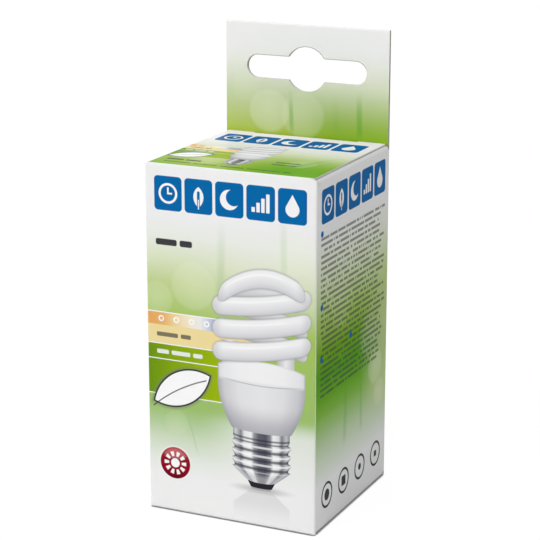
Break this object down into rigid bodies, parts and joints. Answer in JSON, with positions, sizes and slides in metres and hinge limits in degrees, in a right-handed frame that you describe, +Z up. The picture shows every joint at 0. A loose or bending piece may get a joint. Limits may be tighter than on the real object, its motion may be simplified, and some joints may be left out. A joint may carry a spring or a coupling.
{
  "type": "hanging lamp carton",
  "caption": "Small square tuck-top folding carton with a doubled hang tab and hang slot; the hinged lid opens over dust flaps, and a spiral fluorescent lamp stands inside",
  "frame": {"origin": "centre of the base on the surface the carton stands on", "axes": "+Z up to the hang tab, front panel towards -Y, right panel towards +X"},
  "size_m": [0.046, 0.046, 0.119],
  "materials": {
    "printed_board": "coated white board printed in light grey, lime and mid green, with a thin gloss varnish",
    "coated_glass": "clear glass over a white coating",
    "lamp_plastic": "white moulded plastic, satin",
    "cap_metal": "bright plated sheet",
    "cap_insulator": "black fused glass",
    "contact_metal": "tinned brass button"
  },
  "bodies": {
    "carton": {"carton": "printed_board", "lamp_spiral": "coated_glass", "lamp_cover": "lamp_plastic", "lamp_housing": "lamp_plastic", "lamp_screw_cap": "cap_metal", "lamp_insulator": "cap_insulator", "lamp_contact": "contact_metal"},
    "lid": {"lid": "printed_board"}
  },
  "joints": [
    {"name": "lid_hinge", "type": "hinge", "parent": "carton", "child": "lid", "pos_m": [0, -0.023, 0.09], "axis": [1, 0, 0], "range_deg": [0, 180]}
  ]
}
